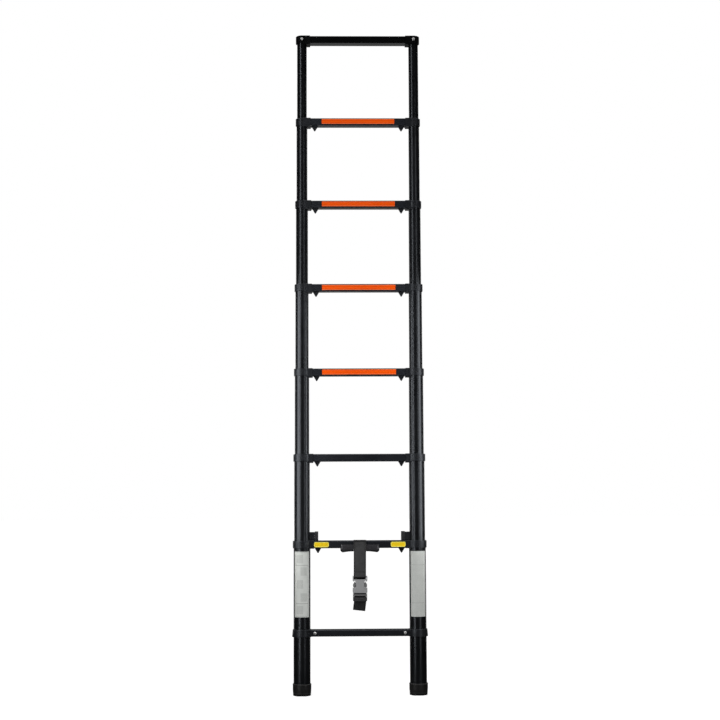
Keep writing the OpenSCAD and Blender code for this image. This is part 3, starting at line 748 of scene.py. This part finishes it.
def strap():
    """One length of webbing: round the rung, down in front, round the socket's bar, sewn on.
    Gives the piece, its path, the depth of its face, the height of its sewn rows, and how far along
    it passes the socket's slot and the rung's upper edge."""
    loop_low, loop_high = (Vector(c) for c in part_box("strap_loop"))
    socket_low, socket_high = (Vector(c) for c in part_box("buckle_socket"))
    half = WEBBING_T / 2
    front, back = loop_low.y + half, loop_high.y - half
    top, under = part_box("rung_2")[1][2] + SEAT + half, loop_low.z + half
    bar_y = (socket_low.y + socket_high.y) / 2
    bar_under = socket_high.z - SOCKET_BAR_H
    bar_back = bar_y + SOCKET_BAR_T / 2 + SEAT + half
    fold_z = bar_under - SEAT - half
    slack_z = bar_under - SOCKET_SLOT_H + SEAT + half
    sewn_z = socket_high.z + STITCH_ABOVE
    sewn = front + WEBBING_T + SEAT
    rising = bar_back + WEBBING_T + SEAT
    corners = [
        upright(sewn, under - UNDER_END), upright(sewn, under), upright(back, under),
        upright(back, top), upright(front, top), upright(front, fold_z),
        upright(bar_back, fold_z), upright(bar_back, slack_z), upright(rising, slack_z),
        upright(rising, socket_high.z), upright(sewn, sewn_z), upright(sewn, sewn_z + SEWN_END),
    ]
    around = rounded_path(corners[:6], ROUND_RUNG_R)[:-1]
    path = with_steps(around + rounded_path(corners[4:], FOLD_R)[1:], STRAP_STEP)
    hang = loop_low.z - fold_z

    def move(row):
        """The hanging stretch lies a little to the left and ripples slightly."""
        share = min(1.0, max(0.0, (loop_low.z - row[0].z) / hang))
        ripple = math.sin(RIPPLES * math.pi * share) * math.sin(math.pi * share)
        shift = Vector((-STRAP_SHIFT * share, -RIPPLE * ripple, 0))
        return [row[0] + shift, row[1] + shift, row[2], row[3]]

    piece = ribbon("strap", webbing_rows(path, move), WEBBING_T)
    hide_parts("strap_loop", "strap_webbing")
    middle = (top + under) / 2
    in_slot = length_to(path, lambda p: p.y > bar_y and p.z < bar_under)
    on_edge = length_to(path, lambda p: p.y < front + half and p.z > middle)
    return piece, path, front - half, sewn_z, in_slot, on_edge


PLUG_SLOT_TOP = 0.5 * MM
PLUG_SLOT_H = 5.8 * MM
CROSSBAR_H = 3 * MM
CROSSBAR_T = 3 * MM
LOWER_BAR_BACK = 2.5 * MM
TAIL_START = 4 * MM
TAIL_STEP = 3 * MM
TAIL_SLANT = math.radians(6.5)
TAIL_TURN = 12 * MM
TAIL_CURL, TAIL_CURL_AT = 1.5 * MM, 30 * MM
HEM = 9 * MM
HEM_STITCH_IN = 2 * MM


def strap_tail():
    """The loose end: round the plug's crossbar, sewn to itself, and hanging aslant with a hem.
    Gives the piece, its path, the line of its hem's stitches, and how far along the bar lies."""
    socket_low, socket_high = (Vector(c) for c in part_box("buckle_socket"))
    plug_low = Vector(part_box("buckle_plug")[0])
    tail_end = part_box("strap_webbing")[0][2]
    middle = (socket_low.y + socket_high.y) / 2
    half = WEBBING_T / 2
    fold = half + SEAT
    crossbar_top = socket_low.z - PLUG_SLOT_TOP - PLUG_SLOT_H
    crossbar_under = crossbar_top - CROSSBAR_H
    over = middle - CROSSBAR_T / 2 - fold
    behind = middle + LOWER_BAR_BACK + fold
    sewn = behind + WEBBING_T + SEAT
    hem = sewn + WEBBING_T + SEAT
    slack_z = socket_low.z - PLUG_SLOT_TOP - fold
    corners = [
        upright(behind, plug_low.z + TAIL_START), upright(behind, crossbar_under - fold),
        upright(over, crossbar_under - fold), upright(over, crossbar_top + fold),
        upright(middle, crossbar_top + fold), upright(middle, slack_z), upright(sewn, slack_z),
        upright(sewn, tail_end + half), upright(hem, tail_end + half),
        upright(hem, tail_end + HEM),
    ]
    path = with_steps(rounded_path(corners, FOLD_R), TAIL_STEP)

    def slanted(point):
        """Below the plug the tail turns to the left and curls back a little."""
        drop = plug_low.z - point.z
        if drop <= 0:
            return point
        turn = Matrix.Rotation(TAIL_SLANT * min(1.0, drop / TAIL_TURN), 3, "Y")
        turned = turn @ Vector((point.x, 0, -drop))
        curl = TAIL_CURL * (drop / TAIL_CURL_AT) ** 2
        return Vector((turned.x, point.y + curl, plug_low.z + turned.z))

    def move(row):
        return [slanted(row[0]), slanted(row[1]), row[2], row[3]]

    piece = ribbon("strap_tail", webbing_rows(path, move), WEBBING_T)
    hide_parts("strap_webbing")
    reach = WEBBING_W / 2 - HEM_STITCH_IN
    hem_start, hem_end = (
        slanted(upright(sewn - half, tail_end + HEM - HEM_STITCH_IN) + ACROSS * x)
        for x in (-reach, reach))
    on_crossbar = length_to(
        path, lambda p: p.y < over + half and p.z > crossbar_top - CROSSBAR_H / 2)
    return piece, path, (hem_start, hem_end, OUT), on_crossbar


# Bundle: two flattened loops of spare webbing between the rung and the strap

BUNDLE_T = 1.15 * MM
BUNDLE_STEP = 4 * MM
BUNDLE_START = 3 * MM
BUNDLE_AIR = 0.02 * MM
BUNDLE_SAG = 0.8 * MM
BUNDLE_BELLY = 1.2 * MM
BEHIND_STRAP = WEBBING_W / 2 + 0.2 * MM
SQUEEZE_STEP = 0.3 * MM
STRAP_TO_SQUEEZED = 4.3 * MM
ROUND_END = 0.999
# How far a fold's top lies below the top of the bundle's box and its waist above the box's floor,
# how far its ends droop, and how round their lower corners are
LOWER_FOLD = {"down": 4 * MM, "waist": 3.5 * MM, "droop": 3.5 * MM, "lobe_r": 8 * MM}
UPPER_FOLD = {"down": 0.0, "waist": 8.5 * MM, "droop": 1.5 * MM, "lobe_r": 3 * MM}
UPPER_SHORTER = 1.5 * MM


def bundle_path(reach, front, back):
    """Points and tangents of a flattened loop along the rung, with two points at each place where
    the strap begins to squeeze it."""
    corners = [Vector((x, y, 0)) for x, y in (
        (BUNDLE_START, back), (reach, back), (reach, front), (-reach, front), (-reach, back),
        (-BUNDLE_START, back))]
    path = with_steps(rounded_path(corners, abs(back - front) / 2 * ROUND_END, 8), BUNDLE_STEP)
    marks = [side * x for side in (1, -1) for x in (BEHIND_STRAP, BEHIND_STRAP - SQUEEZE_STEP)]
    rows, previous = [], None
    for point, tangent in zip(path, tangents(path)):
        if previous is not None:
            crossed = [m for m in marks if (previous.x - m) * (point.x - m) < 0]
            for m in sorted(crossed, key=lambda value: abs(value - previous.x)):
                rows.append((Vector((m, point.y, 0)), tangent))
        rows.append((point, tangent))
        previous = point
    return rows


def bundle_fold(name, reach, front, back, under_rung, down, waist, droop, lobe_r):
    """A flattened loop that is squeezed behind the strap and droops at both rounded ends."""
    low, high = (Vector(c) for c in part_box("strap_bundle"))
    out = []
    for point, tangent in bundle_path(reach, front, back):
        x = abs(point.x)
        past = max(0.0, x - BEHIND_STRAP)
        hanging = min(1.0, past / (reach - BEHIND_STRAP - lobe_r)) ** 2
        bottom = low.z + waist - droop * hanging
        if x > reach - lobe_r:
            bottom += lobe_r - math.sqrt(max(0.0, lobe_r ** 2 - (x - reach + lobe_r) ** 2))
        top = high.z - down
        if x < BEHIND_STRAP - SQUEEZE_STEP / 3:
            bottom = under_rung
        else:
            top -= BUNDLE_SAG * math.sin(math.pi * min(1.0, x / reach)) ** 2
        normal = UP.cross(tangent)
        bulge = 0.0
        if point.y < (front + back) / 2:
            bulge = BUNDLE_BELLY * math.sin(math.pi * min(1.0, past / (reach - BEHIND_STRAP)))
            bulge *= -1 if normal.y >= 0 else 1
        out.append([Vector((point.x, point.y, bottom)), Vector((point.x, point.y, top)), normal,
                    bulge])
    piece = ribbon(name, out, BUNDLE_T)
    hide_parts("strap_bundle")
    return piece, out


def strap_bundle():
    """The spare webbing, folded into two loops between the rung and the strap."""
    low, high = (Vector(c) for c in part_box("strap_bundle"))
    under_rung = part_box("strap_loop")[0][2] + STRAP_TO_SQUEEZED
    room = BUNDLE_T / 2 + BUNDLE_AIR
    inner, outer = high.y - room, low.y + room
    middle = (inner + outer) / 2
    reach = high.x - BUNDLE_T / 2
    return (bundle_fold("strap_bundle_lower", reach, middle + room, inner, under_rung,
                        **LOWER_FOLD),
            bundle_fold("strap_bundle_upper", reach - UPPER_SHORTER, outer, middle - room,
                        under_rung, **UPPER_FOLD))


# Soft pieces with their stitches and webbing

STITCH_LENGTH = 2.4 * MM
STITCH_R = 0.4 * MM
BOX_IN = 3 * MM
BOX_HALF_H = 8 * MM
SEWN_ROWS = 4
SEWN_ROW_STEP = 1.3 * MM
SEWN_ROW_LONGER = 1 * MM
BEND_SHADE_HALF = 2.5 * MM
CROSSBAR_LIGHT_HALF = 2.2 * MM


def add_strap(thread):
    piece, path, face, sewn_z, in_slot, on_edge = strap()
    # Painted shade where the webbing lies in the socket's slot and on its bend over the rung's top
    # edge.
    piece.data.materials.append(woven(
        "webbing", (0.012, 0.012, 0.0125), (0.05, 0.05, 0.051),
        stretches=[(in_slot + SOCKET_SLOT_H, 2 * SOCKET_SLOT_H, grey(0.003)),
                   (on_edge, BEND_SHADE_HALF, grey(0.012))]))
    half_w = WEBBING_W / 2 - BOX_IN
    rung_low, rung_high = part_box("rung_2")
    middle = (rung_low[2] + rung_high[2]) / 2
    corners = [Vector((x, face, z)) for x, z in (
        (-half_w, middle - BOX_HALF_H), (half_w, middle - BOX_HALF_H),
        (half_w, middle + BOX_HALF_H), (-half_w, middle + BOX_HALF_H))]
    lines = [(a, b, OUT) for a, b in zip(corners, corners[1:] + corners[:1])]
    lines += [(corners[0], corners[2], OUT), (corners[1], corners[3], OUT)]
    for k in range(SEWN_ROWS):
        z = sewn_z + (k - (SEWN_ROWS - 1) / 2) * SEWN_ROW_STEP
        start, end = (Vector((side * (half_w + SEWN_ROW_LONGER) - STRAP_SHIFT, face, z))
                      for side in (-1, 1))
        lines.append((start, end, OUT))
    stitches = stitch_rows("strap_stitches", lines, STITCH_LENGTH, STITCH_R, thread)
    path_length(path)


def add_tail(thread):
    tail, path, hem_line, on_crossbar = strap_tail()
    # A darker copy of the strap's webbing, painted shade on the hanging tail, with painted light on
    # the band over the plug's crossbar.
    tail.data.materials.append(woven(
        "tail_webbing", (0.006, 0.006, 0.0065), (0.016, 0.016, 0.0165),
        stretches=[(on_crossbar, CROSSBAR_LIGHT_HALF, (0.13, 0.13, 0.132))]))
    hem = stitch_rows("tail_stitches", [hem_line], STITCH_LENGTH, STITCH_R, thread)
    path_length(path)


TACK_IN = 5 * MM
TACK_ROWS = 3
TACK_STEP = 0.9 * MM
TACK_FROM_TOP = 1.5 * MM
TACK_FROM_BOTTOM = 4 * MM
TACK_LENGTH = 2.2 * MM
TACK_R = 0.5 * MM


def add_bundle(thread):
    outer_webbing = woven("outer_bundle_webbing", (0.010, 0.0096, 0.0115), (0.026, 0.025, 0.029),
                          painted_edge_shade=False)
    # A darker copy of the webbing for the lower fold behind: painted shade.
    shaded_inner_webbing = woven("shaded_inner_bundle_webbing", (0.005, 0.005, 0.0053), (0.0125, 0.0125, 0.013),
                          painted_edge_shade=False)
    (lower, lower_rows), (upper, upper_rows) = strap_bundle()
    half = BUNDLE_T / 2
    in_front = [row for row in upper_rows if row[0].y < upper_rows[0][0].y - half]
    lines = []
    for side in (-1, 1):
        x = side * (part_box("strap_bundle")[1][0] - TACK_IN)
        bottom, top, _, bulge = min(in_front, key=lambda row: abs(row[0].x - x))
        y = bottom.y - half - abs(bulge)
        for k in range(TACK_ROWS):
            beside = x + (k - (TACK_ROWS - 1) / 2) * TACK_STEP
            lines.append((Vector((beside, y, top.z - TACK_FROM_TOP)),
                          Vector((beside, y, bottom.z + TACK_FROM_BOTTOM)), OUT))
    # The tacks' pale thread is a painted highlight for the light on the bundle's folded ends.
    tacks = stitch_rows("bundle_stitches", lines, TACK_LENGTH, TACK_R, thread)
    for fold, rows, cloth, extra in ((lower, lower_rows, shaded_inner_webbing, []),
                                     (upper, upper_rows, outer_webbing, [tacks])):
        fold.data.materials.append(cloth)
        middles = [(row[0] + row[1]) / 2 for row in rows]
        heights = [(row[1] - row[0]).length for row in rows]
        area = sum((a + b) / 2 * (q - p).length
                   for a, b, p, q in zip(heights, heights[1:], middles, middles[1:]))
        path_length(middles)
        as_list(extra)


# CAD nodes and their finishes

ALONG_TUBE = (1, 1, 0.01)
ALONG_RUNG = (0.01, 1, 1)

tube_metal = drawn_aluminium("tube_metal", ALONG_TUBE, (0.002, 0.0021, 0.0025),
                             (0.0038, 0.004, 0.0048), 0.29)
rung_metal = drawn_aluminium("rung_metal", ALONG_RUNG, (0.006, 0.0065, 0.009),
                             (0.009, 0.0098, 0.0135), 0.33, gloss=0.75, worn_treads=True)
# Darker copies of the metals for the top rung and the top tubes: painted shade for the weaker light
# at the top.
shaded_top_metal = drawn_aluminium("shaded_top_metal", ALONG_RUNG, grey(0.0012), grey(0.002), 0.22,
                            gloss=0.36, worn_treads=True)
shaded_top_tube_metal = drawn_aluminium("shaded_top_tube_metal", ALONG_TUBE, (0.0008, 0.0008, 0.001),
                                 (0.0016, 0.0016, 0.002), 0.27)
knob_plastic = moulded("knob_plastic", (0.024, 0.024, 0.026), (0.036, 0.036, 0.038), 0.4,
                       0.01 * MM)

# The finish of each material slot, and of the nodes that differ from their slot
FINISHES = {
    "black_aluminium": tube_metal,
    "black_plastic": moulded("black_plastic", *COLLAR_FINISH),
    "black_rubber": foot_rubber(),
    "screw_steel": screw_steel(),
    "orange_film": reflective_film(),
    "yellow_plastic": yellow_plastic(),
    "pale_film": label_film(),
    "black_webbing": moulded("plain_webbing", (0.016, 0.016, 0.017), (0.03, 0.03, 0.032), 0.85,
                             0.1 * MM, 700),
    "buckle_plastic": moulded("buckle_plastic", (0.27, 0.27, 0.273), (0.33, 0.33, 0.334), 0.42,
                              0.02 * MM),
}
SPECIAL = {
    "rung_8": shaded_top_metal,
    "tubes_7": shaded_top_tube_metal,
    "top_caps": moulded("cap_plastic", grey(0.001), grey(0.002), 0.42, 0.01 * MM, gloss=0.1),
    "buckle_plug": plug_plastic(),
    "release_knob_left": knob_plastic,
    "release_knob_right": knob_plastic,
}
for number in range(2, 8):
    collars = f"collars_{number}"
    SPECIAL[collars] = dimpled_plastic(f"collar_plastic_{number}", collars)

BEVEL = 0.5 * MM
BEVEL_FROM = math.radians(40)
BEVELLED = ("black_plastic", "buckle_plastic", "black_rubber", "yellow_plastic")


def dress_nodes():
    """Gives each CAD node its finish, and moulded ones slightly rounded edges that catch light."""
    for row in frame["record"]["subparts"]:
        node = nodes[row["node"]]
        finish = FINISHES[row["material_slot"]]
        if "rung" in row["node"] and row["material_slot"] == "black_aluminium":
            finish = rung_metal
        node.data.materials.clear()
        node.data.materials.append(SPECIAL.get(row["node"], finish))
        if row["material_slot"] in BEVELLED:
            bevel = node.modifiers.new("rounded_edges", "BEVEL")
            bevel.width = BEVEL
            bevel.segments = 2
            bevel.limit_method = "ANGLE"
            bevel.angle_limit = BEVEL_FROM
            bevel.harden_normals = False


# Studio

SEEN_RAYS = ("Is Camera Ray", "Is Glossy Ray", "Is Transmission Ray")
WHITE = (1, 1, 1, 1)
FLOOR_COLOUR = (0.85, 0.85, 0.85, 1)


def seen_ray(tree):
    """One where the camera, gloss or glass looks."""
    path = add_node(tree, "ShaderNodeLightPath")
    return highest(tree, [path.outputs[name] for name in SEEN_RAYS])


def set_world(diffuse_light):
    """A world that looks white and lights the ladder at its own level."""
    world = bpy.data.worlds.new("studio")
    world.use_nodes = True
    scene.world = world
    tree = world.node_tree
    background = tree.nodes["Background"]
    background.inputs["Color"].default_value = WHITE
    level = ramp(tree, seen_ray(tree), diffuse_light, 1.0, 0, 1)
    tree.links.new(level, background.inputs["Strength"])


def add_surface(name, points, faces, colour, specular):
    """A studio surface with a plain material, and that material's tree and shader."""
    mesh = bpy.data.meshes.new(name)
    mesh.from_pydata(points, [], faces)
    surface = bpy.data.objects.new(name, mesh)
    scene.collection.objects.link(surface)
    material, tree, shader = new_material(name)
    shader.inputs["Base Color"].default_value = colour
    shader.inputs[SPECULAR].default_value = specular
    shader.inputs["Emission Color"].default_value = WHITE
    mesh.materials.append(material)
    return surface, tree, shader


def rectangle(half_width, front, back, z):
    return [(-half_width, front, z), (half_width, front, z), (half_width, back, z),
            (-half_width, back, z)]


def add_floor(half, glow):
    """A white floor that shows the ladder's soft shadow."""
    floor, tree, shader = add_surface("floor", rectangle(half, -half, half, 0), [(0, 1, 2, 3)],
                                      FLOOR_COLOUR, 0.1)
    shader.inputs["Roughness"].default_value = 0.9
    tree.links.new(times(tree, seen_ray(tree), glow), shader.inputs["Emission Strength"])


def add_softbox(name, azimuth, distance, width, low, high, radiance, diffuse=True, gloss=True):
    """An upright softbox that faces the ladder from an azimuth: 0 in front, 90 on the right."""
    data = bpy.data.lights.new(name, "AREA")
    data.shape = "RECTANGLE"
    data.size = width
    data.size_y = high - low
    data.energy = radiance * math.pi * width * (high - low)
    box = bpy.data.objects.new(name, data)
    a = math.radians(azimuth)
    place = Vector((distance * math.sin(a), -distance * math.cos(a), (low + high) / 2))
    facing = Vector((-math.sin(a), math.cos(a), 0)).to_track_quat("-Z", "Y")
    box.matrix_world = Matrix.Translation(place) @ facing.to_matrix().to_4x4()
    scene.collection.objects.link(box)
    box.visible_camera = False
    box.visible_diffuse = diffuse
    box.visible_glossy = gloss


def add_flag(name, points, faces, level):
    """A dark studio surface that only gloss sees."""
    flag, _, shader = add_surface(name, points, faces, (0, 0, 0, 1), 0)
    shader.inputs["Emission Strength"].default_value = level
    for kind in ("camera", "diffuse", "shadow", "transmission"):
        setattr(flag, f"visible_{kind}", False)


WALL_STEPS = 24
MAT_Z = 2 * MM


def add_wall(name, azimuth_from, azimuth_to, radius, high, level):
    """A flag that stands on the floor, bent round the ladder."""
    points = []
    for i in range(WALL_STEPS + 1):
        a = math.radians(azimuth_from + (azimuth_to - azimuth_from) * i / WALL_STEPS)
        points += [(radius * math.sin(a), -radius * math.cos(a), z) for z in (0.0, high)]
    faces = [(2 * i, 2 * i + 2, 2 * i + 3, 2 * i + 1) for i in range(WALL_STEPS)]
    add_flag(name, points, faces, level)


def add_mat(name, half_width, front, back, level):
    """A flag laid on the floor."""
    add_flag(name, rectangle(half_width, front, back, MAT_Z), [(0, 1, 2, 3)], level)


def light_studio():
    """Places in metres and azimuths in degrees, round the middle of the ladder's foot."""
    set_world(diffuse_light=0.5)
    add_floor(half=30, glow=0.6)
    for side, name in ((-1, "left"), (1, "right")):
        add_softbox(f"box_{name}", side * 70, distance=0.45, width=0.15, low=0.5, high=1.44,
                    radiance=4)
    add_softbox("strip_left", -41, distance=1.05, width=0.14, low=0.0, high=3.0, radiance=6,
                diffuse=False)
    add_softbox("strip_right", 36, distance=1.4, width=0.16, low=0.0, high=2.3, radiance=3,
                diffuse=False)
    for side, name in ((-1, "left"), (1, "right")):
        add_softbox(f"back_{name}", side * 138, distance=1.8, width=0.2, low=0.0, high=2.8,
                    radiance=2.5, diffuse=False)
    add_softbox("fill_high", -8, distance=2.0, width=1.0, low=1.45, high=2.35, radiance=6.2,
                gloss=False)
    near_wall, far_wall = 5.6, 13
    mat_back, near_mat_back = 3.5, 6.8
    add_wall("flag_front", -165, 165, near_wall, high=7.0, level=0.02)
    add_wall("flag_back", 160, 200, far_wall, high=14.0, level=0.2)
    add_mat("flag_mat", near_wall, -near_wall, mat_back, level=0.02)
    add_mat("flag_near_mat", far_wall, mat_back, near_mat_back, level=0.12)
    add_mat("flag_far_mat", far_wall, near_mat_back, far_wall, level=0.6)


add_camera()
dress_nodes()
dark_thread = sewing_thread("dark_thread", grey(0.006), grey(0.014))
# Pale thread for the bundle's tacks: a painted highlight standing in for the light on the bundle's
# folded ends.
highlight_thread = sewing_thread("highlight_thread", (0.13, 0.13, 0.14), (0.2, 0.2, 0.21))
add_strap(dark_thread)
add_tail(dark_thread)
add_bundle(highlight_thread)
light_studio()
scene.view_settings.view_transform = "Standard"
